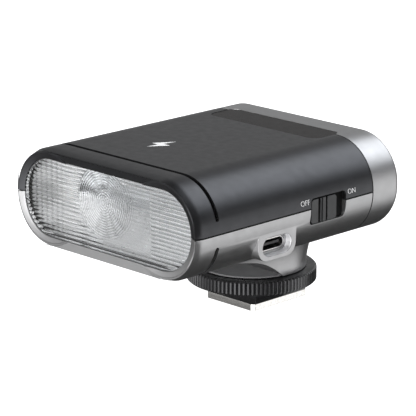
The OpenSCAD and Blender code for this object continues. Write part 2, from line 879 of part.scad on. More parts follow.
// A coil of round wire: rings of points joined along a helix, closed at both ends
module coil(radius, wire, height, turns, around, sides) {
    steps = turns * around;
    rings = [for (i = [0:steps]) let (a = 360 * i / around, z = wire / 2 + (height - wire) * i / steps)
        for (k = [0:sides - 1]) let (b = 360 * k / sides, r = radius + wire / 2 * cos(b))
            [r * cos(a), r * sin(a), z + wire / 2 * sin(b)]];
    skin = [for (i = [0:steps - 1], k = [0:sides - 1])
        let (n = (k + 1) % sides, p = i * sides, q = p + sides) [p + k, q + k, q + n, p + n]];
    first = [for (k = [0:sides - 1]) k];
    last = [for (k = [sides - 1:-1:0]) steps * sides + k];
    polyhedron(rings, concat(skin, [first], [last]), convexity = 8);
}

module contact_spring() {
    color(steel) translate([0, 0, contact_seat_z + contact_head_t + 0.02])
        coil(spring_r, spring_wire, spring_l, 3, 14, 6);
}

module foot_screws() {
    color(steel) at_foot_screws() translate([0, 0, 0.05]) difference() {
        union() {
            cylinder(h = foot_screw_l, r = foot_screw_r);
            cylinder(h = 0.95, r1 = foot_screw_head_r, r2 = foot_screw_r);
        }
        for (a = [0, 90]) rotate(a) translate([-0.9, -0.15, -1]) cube([1.8, 0.3, 1.5]);
    }
}

// Pan-head screw pointing down from z = 0, cross slot on top
module pan_screw(shaft_r, head_r, length) {
    difference() {
        union() {
            translate([0, 0, -length]) cylinder(h = length, r = shaft_r);
            cylinder(h = pan_head_t, r = head_r);
        }
        for (a = [0, 90])
            rotate(a) translate([-head_r * 0.6, -0.2, pan_head_t - 0.6]) cube([head_r * 1.2, 0.4, 1]);
    }
}

module neck_screws() {
    color(steel) at_neck_screws(neck_z + neck_floor_t)
        pan_screw(foot_screw_r, foot_screw_head_r, neck_screw_l);
}

module shell_screws() {
    color(steel) for (p = columns_at)
        translate([p[0], p[1], shell_head_z]) mirror([0, 0, 1])
            pan_screw(screw_r, shell_head_r, shell_screw_l);
}

// ---- Rear controls ----

module power_dial() {
    flutes = 24;
    color(black) controls(dial_gap) union() {
        difference() {
            cylinder(h = dial_out, r = dial_r);
            for (i = [0:flutes - 1])
                rotate(i * 360 / flutes) translate([dial_r + 0.25, 0, 0.6])
                    cylinder(h = dial_out, r = 0.6, $fn = 24);
            translate([0, dial_r - 2.2, dial_out - 0.4]) cylinder(h = 1, r = 0.7);
        }
        translate([0, 0, -cover_back - dial_gap - 1.6])
            cylinder(h = cover_back + dial_gap + 1.7, r = dial_shaft_r);
    }
}

module dial_encoder() {
    t = face_in_y - 0.2 - controls_y;
    color("#54585c") translate([control_x, controls_y, mid_z]) rotate([-90, 0, 0]) difference() {
        translate([-encoder_w / 2, -encoder_w / 2, 0]) cube([encoder_w, encoder_w, t]);
        translate([0, 0, t - 1.8]) cylinder(h = 3, r = dial_shaft_r + 0.05);
    }
}

module button(r) {
    translate([0, 0, -cover_back - button_gap])
        cylinder(h = cover_back + button_gap + button_out - 0.4, r = r);
    translate([0, 0, button_out - 0.4]) cylinder(h = 0.4, r1 = r, r2 = r - 0.4);
    translate([0, 0, -cover_back - button_gap - flange_t]) cylinder(h = flange_t, r = r + flange_w);
}

module test_button() {
    color("#b23a2c") translate([-control_x, rear_y, mid_z]) rotate([-90, 0, 0]) button(test_r);
}

module mode_button() {
    color(black) translate([0, rear_y, mode_z]) rotate([-90, 0, 0]) button(mode_r);
}

module key_switches() {
    color("#3c3f42") for (p = [[-control_x, mid_z], [0, mode_z]])
        translate([p[0], controls_y, p[1]]) rotate([-90, 0, 0]) {
            translate([-2.6, -2.6, 0]) cube([5.2, 5.2, key_t - 0.6]);
            translate([0, 0, key_t - 0.6]) cylinder(h = 0.5, r = 1.4);
        }
}

module level_lights() {
    color("#d8e4d8") lights() translate([0, 0, controls_y - rear_y + 0.3])
        cylinder(h = rear_y - controls_y - 0.25, r = level_r);
}

module control_board() {
    color(green) along_y(controls_y - board_t, controls_y)
        translate([0, mid_z]) rounded(body_w - 2 * wall - 12, 14, 2);
}

// ---- Inside ----

module main_board() {
    color(green) difference() {
        translate([board_x0, board_y0, board_z])
            cube([board_x1 - board_x0, board_y1 - board_y0, board_t]);
        translate([board_x0 + 4, board_y1 - 5, board_z - 1]) cylinder(h = board_t + 2, r = 1.6);
    }
}

module main_capacitor() {
    color("#26303a") translate([capacitor_x, capacitor_y, capacitor_z]) rotate([0, 90, 0]) {
        cylinder(h = capacitor_l - 0.6, r = capacitor_r);
        translate([0, 0, capacitor_l - 0.6]) cylinder(h = 0.6, r1 = capacitor_r, r2 = capacitor_r - 0.6);
    }
}

module battery_cell() {
    color("#8a9096") translate([-battery[0] / 2, battery_y0, battery_z])
        cube(battery);
}

module charge_transformer() {
    color("#5a4632") translate([column_x - 1.6, column_front_y + column_r + 0.3, mid_z - 3]) {
        cube([11, 10, 9]);
        translate([5.5, 5, 9]) cylinder(h = 1.2, r = 3.4);
    }
}

module trigger_coil() {
    color("#7a3226") translate([board_x1 - 5, battery_y0 + 3, board_z + board_t])
        cylinder(h = 5, r = 3);
}

module power_transistor() {
    color("#202226") translate([board_x0 + 1.5, battery_y0 + 2, board_z + board_t]) {
        cube([10, 9, 2.4]);
        translate([2, 9, 0]) cube([6, 2.4, 0.8]);
    }
}

module signal_chips() {
    color("#202226") for (p = [[-3, 4, 6], [5, 10, 5], [-2, 13, 4]])
        translate([p[0], battery_y0 + p[1], board_z + board_t]) cube([p[2], p[2] - 1, 1]);
}

top_shell();
bottom_shell();
rear_cover();
front_lens();
lens_gasket();
reflector();
flash_tube();
tube_electrodes();
tube_sleeves();
optical_window();
slave_sensor();
power_knob();
slide_switch();
switch_board();
usb_socket();
usb_tongue();
usb_board();
locking_ring();
clamp_washer();
shoe_stem();
shoe_foot();
foot_insulator();
centre_contact();
contact_spring();
foot_screws();
neck_screws();
shell_screws();
power_dial();
dial_encoder();
test_button();
mode_button();
key_switches();
level_lights();
control_board();
main_board();
main_capacitor();
battery_cell();
charge_transformer();
trigger_coil();
power_transistor();
signal_chips();
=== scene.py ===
import json
from math import cos, hypot, pi, radians, sin, sqrt

import bmesh
import bpy
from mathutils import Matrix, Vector


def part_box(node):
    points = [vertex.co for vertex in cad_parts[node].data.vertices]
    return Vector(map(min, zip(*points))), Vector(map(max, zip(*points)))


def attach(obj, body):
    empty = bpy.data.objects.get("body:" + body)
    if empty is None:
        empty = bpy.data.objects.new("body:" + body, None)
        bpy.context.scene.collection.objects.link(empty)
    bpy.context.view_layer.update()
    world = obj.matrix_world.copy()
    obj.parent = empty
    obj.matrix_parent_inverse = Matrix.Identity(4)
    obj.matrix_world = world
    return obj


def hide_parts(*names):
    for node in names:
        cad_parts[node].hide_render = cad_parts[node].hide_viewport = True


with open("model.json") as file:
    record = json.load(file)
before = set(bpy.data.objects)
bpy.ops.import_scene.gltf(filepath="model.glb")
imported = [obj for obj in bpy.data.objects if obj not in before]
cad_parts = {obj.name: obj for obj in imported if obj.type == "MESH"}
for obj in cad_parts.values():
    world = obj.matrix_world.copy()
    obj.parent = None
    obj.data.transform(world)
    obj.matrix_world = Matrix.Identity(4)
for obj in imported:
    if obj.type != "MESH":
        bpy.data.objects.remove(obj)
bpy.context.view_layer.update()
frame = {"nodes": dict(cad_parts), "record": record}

mm = 0.001  # every size below is in millimetres
scene = bpy.context.scene
scene.view_settings.view_transform = "Standard"


def boxOf(node):
    low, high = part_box(node)
    return low / mm, high / mm


# The body's section, read from the frame.
coverLow, coverHigh = boxOf("rear_cover")
shellLow, shellHigh = boxOf("top_shell")
body = {
    "halfWidth": coverHigh.x,
    "midZ": (coverLow.z + coverHigh.z) / 2,
    "topZ": coverHigh.z,
    "bellyZ": coverLow.z,
    "frontY": shellLow.y,
    "seamY": shellHigh.y,
    "cornerR": 13.2,
}
body["cornerX"] = body["halfWidth"] - body["cornerR"]
body["cornerZ"] = (body["topZ"] - body["bellyZ"]) / 2 - body["cornerR"]


def sideX(z):
    return body["cornerX"] + sqrt(body["cornerR"] ** 2 - (abs(z - body["midZ"]) - body["cornerZ"]) ** 2)


# Making pieces: sizes are turned into metres here.
def newObject(name, bm):
    bmesh.ops.recalc_face_normals(bm, faces=bm.faces)
    for vert in bm.verts:
        vert.co *= mm
    mesh = bpy.data.meshes.new(name)
    bm.to_mesh(mesh)
    bm.free()
    thing = bpy.data.objects.new(name, mesh)
    scene.collection.objects.link(thing)
    return thing


def bake(thing):
    shape = bpy.data.meshes.new_from_object(thing.evaluated_get(bpy.context.evaluated_depsgraph_get()))
    thing.modifiers.clear()
    thing.data = shape


def finishPiece(thing, bodyName, material, replaced=(), smooth=35):
    if not thing.data.materials:
        thing.data.materials.append(material)
    thing.data.shade_smooth()
    thing.data.set_sharp_from_angle(angle=radians(smooth))
    flats = thing.modifiers.new("flats", "WEIGHTED_NORMAL")
    flats.keep_sharp = True
    bake(thing)
    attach(thing, bodyName)
    if replaced:
        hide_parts(*replaced)


edges = {"segments": 2, "angle": 30, "weld": 0.002, "sliver": 0.001, "flat": 0.4}


def softened(node, width):
    source = frame["nodes"][node].data
    bm = bmesh.new()
    verts = [bm.verts.new(v.co / mm) for v in source.vertices]
    for polygon in source.polygons:
        bm.faces.new([verts[i] for i in polygon.vertices])
    bmesh.ops.remove_doubles(bm, verts=bm.verts, dist=edges["weld"])
    bmesh.ops.dissolve_degenerate(bm, edges=bm.edges, dist=edges["sliver"])
    bmesh.ops.dissolve_limit(bm, angle_limit=radians(edges["flat"]), verts=bm.verts, edges=bm.edges)
    thing = newObject(node.replace("_", "-"), bm)
    if width:
        edge = thing.modifiers.new("edges", "BEVEL")
        edge.width = width * mm
        edge.segments = edges["segments"]
        edge.limit_method = "ANGLE"
        edge.angle_limit = radians(edges["angle"])
        edge.use_clamp_overlap = False
        edge.miter_outer = "MITER_ARC"
        bake(thing)
    low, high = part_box(node)  # the rounding stays inside the node's own box
    for vert in thing.data.vertices:
        vert.co = [min(max(value, a), b) for value, a, b in zip(vert.co, low, high)]
    return thing


def newMaterial(name, colour, roughness, metallic=0.0, **sockets):
    material = bpy.data.materials.new(name)
    material.use_nodes = True
    shader = material.node_tree.nodes["Principled BSDF"]
    shader.inputs["Base Color"].default_value = (*colour, 1)
    shader.inputs["Roughness"].default_value = roughness
    shader.inputs["Metallic"].default_value = metallic
    for socket, value in sockets.items():
        shader.inputs[socket.replace("_", " ")].default_value = value
    return material


def addNode(material, kind, links=(), **values):
    node = material.node_tree.nodes.new(kind)
    for key, value in values.items():
        if hasattr(node, key):
            setattr(node, key, value)
        else:
            node.inputs[key.replace("_", " ")].default_value = value
    for source, target in links:
        material.node_tree.links.new(source, node.inputs[target])
    return node


def surfaceNoise(material, size, detail=3.0, stretch=(1, 1, 1)):
    place = addNode(material, "ShaderNodeTexCoord")
    scaled = addNode(material, "ShaderNodeMapping", [(place.outputs["Object"], "Vector")])
    scaled.inputs["Scale"].default_value = [s / (size * mm) for s in stretch]
    return addNode(material, "ShaderNodeTexNoise", [(scaled.outputs["Vector"], "Vector")],
                   Scale=1.0, Detail=detail)


def addGrain(material, size, height, stretch=(1, 1, 1)):
    shader = material.node_tree.nodes["Principled BSDF"]
    noise = surfaceNoise(material, size, 4.0, stretch)
    bump = addNode(material, "ShaderNodeBump", [(noise.outputs["Fac"], "Height")],
                   Strength=1.0, Distance=height * mm)
    material.node_tree.links.new(bump.outputs["Normal"], shader.inputs["Normal"])


def varyRoughness(material, size, low, high, stretch=(1, 1, 1)):
    shader = material.node_tree.nodes["Principled BSDF"]
    noise = surfaceNoise(material, size, 3.0, stretch)
    spread = addNode(material, "ShaderNodeMapRange", [(noise.outputs["Fac"], "Value")])
    for name, value in {"From Min": 0.3, "From Max": 0.7, "To Min": low, "To Max": high}.items():
        spread.inputs[name].default_value = value
    material.node_tree.links.new(spread.outputs["Result"], shader.inputs["Roughness"])


def varyColour(material, size, dark, light, stretch=(1, 1, 1)):
    shader = material.node_tree.nodes["Principled BSDF"]
    noise = surfaceNoise(material, size, 3.0, stretch)
    blend = addNode(material, "ShaderNodeValToRGB", [(noise.outputs["Fac"], "Fac")])
    for element, position, colour in zip(blend.color_ramp.elements, (0.32, 0.68), (dark, light)):
        element.position = position
        element.color = (*colour, 1)
    material.node_tree.links.new(blend.outputs["Color"], shader.inputs["Base Color"])


def tint(colour, factor):
    return tuple(min(1, c * factor) for c in colour)


def finish(name, colour, roughness, metallic=0.0, grain=0.3, height=0.004, spread=0.06, shade=0.08, patch=3.0,
           stretch=(1, 1, 1), **sockets):
    material = newMaterial(name, colour, roughness, metallic, **sockets)
    addGrain(material, grain, height, stretch)
    varyRoughness(material, patch, roughness - spread, roughness + spread, stretch)
    varyColour(material, patch * 1.7, tint(colour, 1 - shade), tint(colour, 1 + shade), stretch)
    return material


finishes = {
    "blackShell": finish("blackAnodised", (0.060, 0.061, 0.065), 0.36, 0.85, grain=0.16, height=0.005,
                         patch=2.2, spread=0.03, shade=0.04),
    "silverShell": finish("silverAnodised", (0.40, 0.40, 0.405), 0.36, 0.88, grain=0.18, height=0.004,
                          patch=2.6, spread=0.03, shade=0.03),
    # painted shade: a near-black finish laid where shade falls in grooves, seams and recesses
    "groove": finish("paintedShadeBlack", (0.006, 0.006, 0.006), 0.7, grain=0.2, height=0.004,
                     Specular_IOR_Level=0.15),
    "rubber": finish("gasketRubber", (0.02, 0.02, 0.02), 0.7, grain=0.4, height=0.01),
    "reflectorSheet": finish("reflectorSheet", (0.96, 0.965, 0.97), 0.30, 1.0, grain=1.2, height=0.01,
                             spread=0.04),
    "sleeve": finish("sleeveSilicone", (0.72, 0.68, 0.6), 0.6, grain=0.3, height=0.01),
    "windowTint": finish("windowTint", (0.010, 0.008, 0.008), 0.24, grain=2.0, height=0.001, spread=0.03,
                         Specular_IOR_Level=0.07),
    "knob": finish("knobPlastic", (0.034, 0.035, 0.037), 0.42, grain=0.14, height=0.006),
    "steel": finish("drawnSteel", (0.62, 0.61, 0.60), 0.28, 1.0, grain=0.3, height=0.003, stretch=(1, 6, 1)),
    "footSteel": finish("footSteel", (0.66, 0.65, 0.63), 0.20, 1.0, grain=0.25, height=0.0005,
                        stretch=(1, 8, 8)),
    "board": finish("solderMask", (0.03, 0.16, 0.07), 0.35, grain=0.6, height=0.006, shade=0.2),
    "darkPlastic": finish("darkPlastic", (0.02, 0.02, 0.021), 0.4, grain=0.2, height=0.005),
    "ringBlack": finish("ringAnodised", (0.030, 0.030, 0.032), 0.30, 0.35, grain=0.2, height=0.003),
    "washer": finish("washerPlastic", (0.03, 0.03, 0.031), 0.55, grain=0.25, height=0.006),
    "brass": finish("contactBrass", (0.78, 0.60, 0.30), 0.25, 1.0, grain=0.3, height=0.003),
    "testRed": finish("testPlastic", (0.42, 0.045, 0.03), 0.38, grain=0.2, height=0.005),
    "lightPipe": finish("lightPipe", (0.72, 0.85, 0.74), 0.25, grain=0.6, height=0.004),
    "capacitor": finish("capacitorSleeve", (0.02, 0.03, 0.06), 0.35, grain=0.5, height=0.008),
    "pouch": finish("batteryPouch", (0.42, 0.44, 0.46), 0.4, 0.7, grain=0.8, height=0.02),
    "copper": finish("enamelledWire", (0.5, 0.22, 0.09), 0.35, 0.8, grain=0.25, height=0.02,
                     stretch=(1, 1, 8)),
    "chip": finish("chipEpoxy", (0.02, 0.02, 0.022), 0.55, grain=0.2, height=0.006),
    # plated port liner; its near-white, mostly diffuse colour is partly a painted glint for the liner's
    # polished rim
    "chromeAndGlint": finish("platedLinerPaintedGlint", (0.90, 0.90, 0.92), 0.22, 0.35, grain=0.4, height=0.002, spread=0.03),
    # painted light: a lighter, diffuse grey for the silver shell's deck, which lies in shade under the body
    "deck": finish("deckPaintedLight", (0.21, 0.21, 0.215), 0.55, 0.0, grain=0.18, height=0.004),
    # white print, with a painted glow: its emission brightens the marks, which are no lamp
    "print": finish("whitePrintPaintedGlow", (0.97, 0.97, 0.98), 0.6, grain=0.2, height=0.004,
                    Emission_Color=(1, 1, 1, 1), Emission_Strength=0.25),
    "lens": finish("lensPlastic", (0.96, 0.97, 0.98), 0.05, grain=3.0, height=0.003, spread=0.02,
                   shade=0.02, Transmission_Weight=1.0, IOR=1.49),
    "glass": finish("tubeGlass", (0.96, 0.97, 0.98), 0.04, grain=3.0, height=0.002, spread=0.02,
                    shade=0.02, Transmission_Weight=1.0, IOR=1.47),
}


def maths(material, operation, *values):
    node = addNode(material, "ShaderNodeMath", operation=operation)
    for socket, value in zip(node.inputs, values):
        if isinstance(value, (int, float)):
            socket.default_value = value
        else:
            material.node_tree.links.new(value, socket)
    return node.outputs[0]


def ramp(material, value, low, high, start=0.0, end=1.0):
    node = addNode(material, "ShaderNodeMapRange", interpolation_type="SMOOTHSTEP")
    for name, setting in {"From Min": low, "From Max": high, "To Min": start, "To Max": end}.items():
        node.inputs[name].default_value = setting
    material.node_tree.links.new(value, node.inputs["Value"])
    return node.outputs["Result"]


print("materials made")

# Front lens: rounded prism ribs, Fresnel arcs in the middle, a plain patch beside them.
lensLow, lensHigh = boxOf("front_lens")
lens = {
    "rows": 132,
    "columns": 300,
    "ribPitch": 1.05,
    "ribDeep": 0.25,
    "arcCentre": (-0.9, 37.8),
    "arcRadii": (2.5, 10.5),
    "arcPitch": 0.7,
    "arcDeep": 0.09,
    "arcFade": 1.5,
    "patch": (-1.0, 17.0, 27.0, 44.0),  # x0, x1, z0, z1
    "patchDeep": 0.04,
    "faceInset": 2.9,
    "flangeInset": 1.9,
    "seatBehind": 2.0,
    "backPitch": 2.1,
    "backDeep": 0.05,
    "backFrom": -17.0,
}


def smoothStep(low, high, value):
    t = min(1, max(0, (value - low) / (high - low)))
    return t * t * (3 - 2 * t)


def lensDepth(x, z):
    rib = 2 * ((z - body["midZ"]) / lens["ribPitch"] % 1) - 1
    deep = lens["ribDeep"] * rib * rib
    x0, x1, z0, z1 = lens["patch"]
    inPatch = (smoothStep(x0 - 0.5, x0 + 0.5, x) * (1 - smoothStep(x1 - 0.2, x1 + 0.2, x))
               * smoothStep(z0 - 0.5, z0 + 0.5, z) * (1 - smoothStep(z1 - 0.5, z1 + 0.5, z)))
    deep += (lens["patchDeep"] * rib * rib - deep) * inPatch
    reach = hypot(x - lens["arcCentre"][0], z - lens["arcCentre"][1])
    inner, outer = lens["arcRadii"]
    inArcs = 1 - smoothStep(outer - lens["arcFade"], outer, reach)
    arc = reach / lens["arcPitch"] % 1
    arcDeep = lens["arcDeep"] * arc * smoothStep(inner - 1, inner + 1, reach)
    return deep + (arcDeep - deep) * inArcs


# Painted shade: the lens colour is a little darker along the valleys of its ribs and arcs, over the columns
# of its back ribs and at its end, and an even mid tone in its plain patch.
lensPaintedShade = {"ribDark": 0.38, "arcDark": 0.5, "patchTone": 0.84, "columnDark": 0.2, "endTone": 0.78,
            "endFrom": -31.5, "endTo": -28.5, "colour": (0.975, 0.98, 0.985)}


def paintShadeOnLens(material):
    links = material.node_tree.links

    def do(operation, *values):
        return maths(material, operation, *values)

    def fade(value, low, high, start=0.0, end=1.0):
        return ramp(material, value, low, high, start, end)

    def valley(value, pitch, dark, low, high):
        phase = do("FRACT", do("ADD", do("DIVIDE", value, pitch), 200.0))  # 200 keeps it above zero
        swing = do("ABSOLUTE", do("SUBTRACT", do("MULTIPLY", phase, 2.0), 1.0))
        return fade(swing, low, high, 1.0, 1 - dark)

    def mixed(low, high, amount):
        return do("ADD", low, do("MULTIPLY", do("SUBTRACT", high, low), amount))

    place = addNode(material, "ShaderNodeTexCoord")
    axes = addNode(material, "ShaderNodeSeparateXYZ", [(place.outputs["Object"], "Vector")])
    x = do("DIVIDE", axes.outputs["X"], mm)
    z = do("DIVIDE", axes.outputs["Z"], mm)
    x0, x1, z0, z1 = lens["patch"]
    ribs = valley(do("SUBTRACT", z, body["midZ"]), lens["ribPitch"], lensPaintedShade["ribDark"], 0.35, 0.9)
    acrossPatch = do("MULTIPLY", fade(x, x0 - 2, x0 + 1), fade(x, x1 - 0.2, x1 + 0.2, 1.0, 0.0))
    upPatch = do("MULTIPLY", fade(z, z0 - 0.5, z0 + 0.5), fade(z, z1 - 0.5, z1 + 0.5, 1.0, 0.0))
    tone = mixed(ribs, lensPaintedShade["patchTone"], do("MULTIPLY", acrossPatch, upPatch))
    dx = do("SUBTRACT", x, lens["arcCentre"][0])
    dz = do("SUBTRACT", z, lens["arcCentre"][1])
    reach = do("SQRT", do("ADD", do("MULTIPLY", dx, dx), do("MULTIPLY", dz, dz)))
    arcs = valley(reach, lens["arcPitch"], lensPaintedShade["arcDark"], 0.3, 0.9)
    outer = lens["arcRadii"][1]
    tone = mixed(tone, arcs, fade(reach, outer - lens["arcFade"], outer, 1.0, 0.0))
    columns = valley(x, lens["backPitch"], lensPaintedShade["columnDark"], 0.5, 0.95)
    inColumns = fade(x, lens["backFrom"] - 3, lens["backFrom"], 1.0, 0.0)
    tone = mixed(tone, do("MULTIPLY", tone, columns), inColumns)
    tone = do("MULTIPLY", tone, fade(x, lensPaintedShade["endFrom"], lensPaintedShade["endTo"], lensPaintedShade["endTone"], 1.0))
    shade = addNode(material, "ShaderNodeVectorMath", operation="SCALE")
    shade.inputs[0].default_value = lensPaintedShade["colour"]
    links.new(tone, shade.inputs["Scale"])
    links.new(shade.outputs["Vector"], material.node_tree.nodes["Principled BSDF"].inputs["Base Color"])


paintShadeOnLens(finishes["lens"])


def stadiumGrid(bm, inset, depthAt):
    halfHeight = (body["topZ"] - body["bellyZ"]) / 2 - inset
    radius = body["cornerR"] - inset
    grid = []
    for row in range(lens["rows"] + 1):
        dz = halfHeight * (2 * row / lens["rows"] - 1)
        past = max(0, abs(dz) - body["cornerZ"])
        reach = body["cornerX"] + sqrt(max(0, radius ** 2 - past ** 2))
        line = []
        for column in range(lens["columns"] + 1):
            x = reach * (2 * column / lens["columns"] - 1)
            line.append(bm.verts.new((x, depthAt(x, body["midZ"] + dz), body["midZ"] + dz)))
        grid.append(line)
    return grid


def gridFaces(bm, grid):
    for low, high in zip(grid, grid[1:]):
        for a, b, c, d in zip(low, low[1:], high[1:], high):
            bm.faces.new((a, b, c, d))


def gridRim(grid):
    return (grid[0] + [line[-1] for line in grid[1:-1]] + grid[-1][::-1]
            + [line[0] for line in grid[-2:0:-1]])


def bridge(bm, loopA, loopB):
    count = len(loopA)
    for i in range(count):
        j = (i + 1) % count
        bm.faces.new((loopA[i], loopA[j], loopB[j], loopB[i]))


def movedRim(bm, rim, inset, y):
    fresh = []
    shift = lens["faceInset"] - inset
    for vert in rim:
        x, z = vert.co.x, vert.co.z - body["midZ"]
        centreX = max(-body["cornerX"], min(body["cornerX"], x))
        centreZ = max(-body["cornerZ"], min(body["cornerZ"], z))
        out = Vector((x - centreX, z - centreZ)).normalized() * shift
        fresh.append(bm.verts.new((x + out.x, y, vert.co.z + out.y)))
    return fresh


def makeLens():
    bm = bmesh.new()
    face = stadiumGrid(bm, lens["faceInset"], lambda x, z: lensLow.y + lensDepth(x, z))
    back = stadiumGrid(bm, lens["faceInset"], lambda x, z: lensHigh.y - lens["backDeep"]
                       * (1 - smoothStep(lens["backFrom"] - 2, lens["backFrom"], x))
                       * abs(sin(pi * x / lens["backPitch"])))
    gridFaces(bm, face)
    gridFaces(bm, back)
    seatY = lensLow.y + lens["seatBehind"]
    faceRim, backRim = gridRim(face), gridRim(back)
    seat = movedRim(bm, faceRim, lens["faceInset"], seatY)
    flange = movedRim(bm, faceRim, lens["flangeInset"], seatY)
    flangeBack = movedRim(bm, faceRim, lens["flangeInset"], lensHigh.y)
    for a, b in ((faceRim, seat), (seat, flange), (flange, flangeBack), (flangeBack, backRim)):
        bridge(bm, a, b)
    return newObject("frontLens", bm)


finishPiece(makeLens(), "body", finishes["lens"], ["front_lens"], smooth=30)
print("lens made")

# The other pieces, each with its own fine edge rounding.
pieces = {
    # node: (edge rounding, finish, slot)
    "top_shell": (0.12, "blackShell", "black_anodised"),
    "bottom_shell": (0.12, "silverShell", "silver_anodised"),
    "rear_cover": (0.10, "silverShell", "silver_anodised"),
    "lens_gasket": (0.06, "rubber", "gasket_rubber"),
    "reflector": (0.0, "reflectorSheet", "reflector_sheet"),
    "flash_tube": (0.08, "glass", "tube_glass"),
    "tube_electrodes": (0.1, "steel", "spring_steel"),
    "tube_sleeves": (0.12, "sleeve", "sleeve_silicone"),
    "optical_window": (0.12, "windowTint", "window_plastic"),
    "slave_sensor": (0.1, "chip", "sensor_epoxy"),
    "power_knob": (0.16, "knob", "knob_plastic"),
    "slide_switch": (0.1, "steel", "switch_steel"),
    "switch_board": (0.05, "board", "board_laminate"),
    "usb_socket": (0.06, "steel", "socket_steel"),
    "usb_tongue": (0.05, "darkPlastic", "insulator_plastic"),
    "usb_board": (0.05, "board", "board_laminate"),
    "locking_ring": (0.05, "ringBlack", "ring_anodised"),
    "clamp_washer": (0.1, "washer", "washer_plastic"),
    "shoe_stem": (0.1, "blackShell", "black_anodised"),
    "shoe_foot": (0.1, "footSteel", "foot_steel"),
    "foot_insulator": (0.08, "darkPlastic", "insulator_plastic"),
    "centre_contact": (0.12, "brass", "contact_brass"),
    "contact_spring": (0.0, "steel", "spring_steel"),
    "foot_screws": (0.04, "steel", "screw_steel"),
    "neck_screws": (0.05, "steel", "screw_steel"),
    "shell_screws": (0.05, "steel", "screw_steel"),
    "power_dial": (0.12, "knob", "knob_plastic"),
    "dial_encoder": (0.1, "chip", "chip_epoxy"),
    "test_button": (0.15, "testRed", "test_plastic"),
    "mode_button": (0.15, "knob", "knob_plastic"),
    "key_switches": (0.06, "chip", "chip_epoxy"),
    "level_lights": (0.08, "lightPipe", "light_pipe"),
    "control_board": (0.05, "board", "board_laminate"),
    "main_board": (0.05, "board", "board_laminate"),
    "main_capacitor": (0.2, "capacitor", "capacitor_sleeve"),
    "battery_cell": (0.5, "pouch", "battery_pouch"),
    "charge_transformer": (0.2, "copper", "winding_copper"),
    "trigger_coil": (0.2, "copper", "winding_copper"),
    "power_transistor": (0.1, "chip", "chip_epoxy"),
    "signal_chips": (0.1, "chip", "chip_epoxy"),
}
# painted shade reaches this far into the shell seams and the trim groove
seam = {"reach": 0.21, "deep": 1.6}
groove = {"back": 7.6, "ahead": 0.57, "behind": 0.7, "deep": 1.2}
# where the painted light on the deck goes
deck = {"above": 0.2, "high": 1.4, "ahead": -4.0, "reach": 15.3}
# painted shade fills the knob's faces sunk deeper than this below its face
knobFace = {"deep": 0.17}


# Painted shade: faces inside the trim groove, at the seam to the rear cover and along the parting line of the
# shells take the near-black shade finish.
def paintShadeInGrooveAndSeams(thing):
    thing.data.materials.append(finishes["groove"])
    for face in thing.data.polygons:
        place = face.center / mm
        past = Vector((max(0, abs(place.x) - body["cornerX"]),
                       max(0, abs(place.z - body["midZ"]) - body["cornerZ"])))
        under = body["cornerR"] - past.length
        fromGroove = place.y - body["frontY"] - groove["back"]
        inGroove = -groove["ahead"] < fromGroove < groove["behind"]
        if inGroove and 0.01 < under < groove["deep"]:
            face.material_index = 1
        atSeam = abs(place.y - body["seamY"]) < seam["reach"]
        atParting = abs(place.z - body["midZ"]) < seam["reach"] and place.y < body["seamY"]
        if (atSeam or atParting) and 0.01 < under < seam["deep"]:
            face.material_index = 1


# Painted shade: the knob's grooves, sunk below its face, take the near-black shade finish.
def paintShadeInKnobGrooves(thing, faceX):
    thing.data.materials.append(finishes["groove"])
    for face in thing.data.polygons:
        if face.center.x / mm < faceX - knobFace["deep"]:
            face.material_index = 1


# Painted light: the deck's faces under the arch take a lighter, diffuse grey instead of the silver shell's
# own finish.
def paintLightOnDeck(thing, ringTop):
    thing.data.materials.append(finishes["deck"])
    for face in thing.data.polygons:
        place = face.center / mm
        inBand = 0 < place.z - ringTop - deck["above"] < deck["high"] and place.y < deck["ahead"]
        if inBand and hypot(place.x, place.y) < deck["reach"] and face.normal.z > -0.3:
            face.material_index = 2


bodyOfNode = {node: name for name, nodes in frame["record"]["behaviour"]["bodies"].items() for node in nodes}
for node, (rounding, finishName, slotName) in pieces.items():
    thing = softened(node, rounding)
    thing.data.materials.append(finishes[finishName])
    if node in ("top_shell", "bottom_shell", "rear_cover"):
        paintShadeInGrooveAndSeams(thing)
    if node == "power_knob":
        paintShadeInKnobGrooves(thing, boxOf(node)[1].x)
    if node == "bottom_shell":
        paintLightOnDeck(thing, boxOf("locking_ring")[1].z)
    finishPiece(thing, bodyOfNode[node], finishes[finishName], [node])
print("cased pieces made")


def letters(text, height):
    curve = bpy.data.curves.new("letters", "FONT")
    curve.body = text
    curve.size = height / 0.72  # the share of the size that a capital fills
    curve.align_x = "CENTER"
    curve.offset = -0.035 * height
    curve.resolution_u = 6
    thing = bpy.data.objects.new("letters", curve)
    scene.collection.objects.link(thing)
    shape = bpy.data.meshes.new_from_object(thing.evaluated_get(bpy.context.evaluated_depsgraph_get()))
    bpy.data.objects.remove(thing)
    bm = bmesh.new()
    bm.from_mesh(shape)
    bmesh.ops.remove_doubles(bm, verts=bm.verts, dist=1e-4)
    return bm


def thicken(bm, thickness, along):
    made = bmesh.ops.extrude_face_region(bm, geom=bm.faces[:])
    for item in made["geom"]:
        if isinstance(item, bmesh.types.BMVert):
            item.co += along(item.co) * thickness


def pillPoints(width, height, steps=14):
    straight, radius = (width - height) / 2, height / 2
    points = []
    for end, start in ((1, -90), (-1, 90)):
        for step in range(steps + 1):
            angle = radians(start + 180 * step / steps)
            points.append((end * straight + radius * cos(angle), radius * sin(angle)))
    return points


port = {"middle": (-25.7, 27.85), "width": 10.8, "height": 5.1, "wall": 0.1, "lead": 0.22, "x0": 32.13,
        "x1": 34.2, "lip": 0.1}


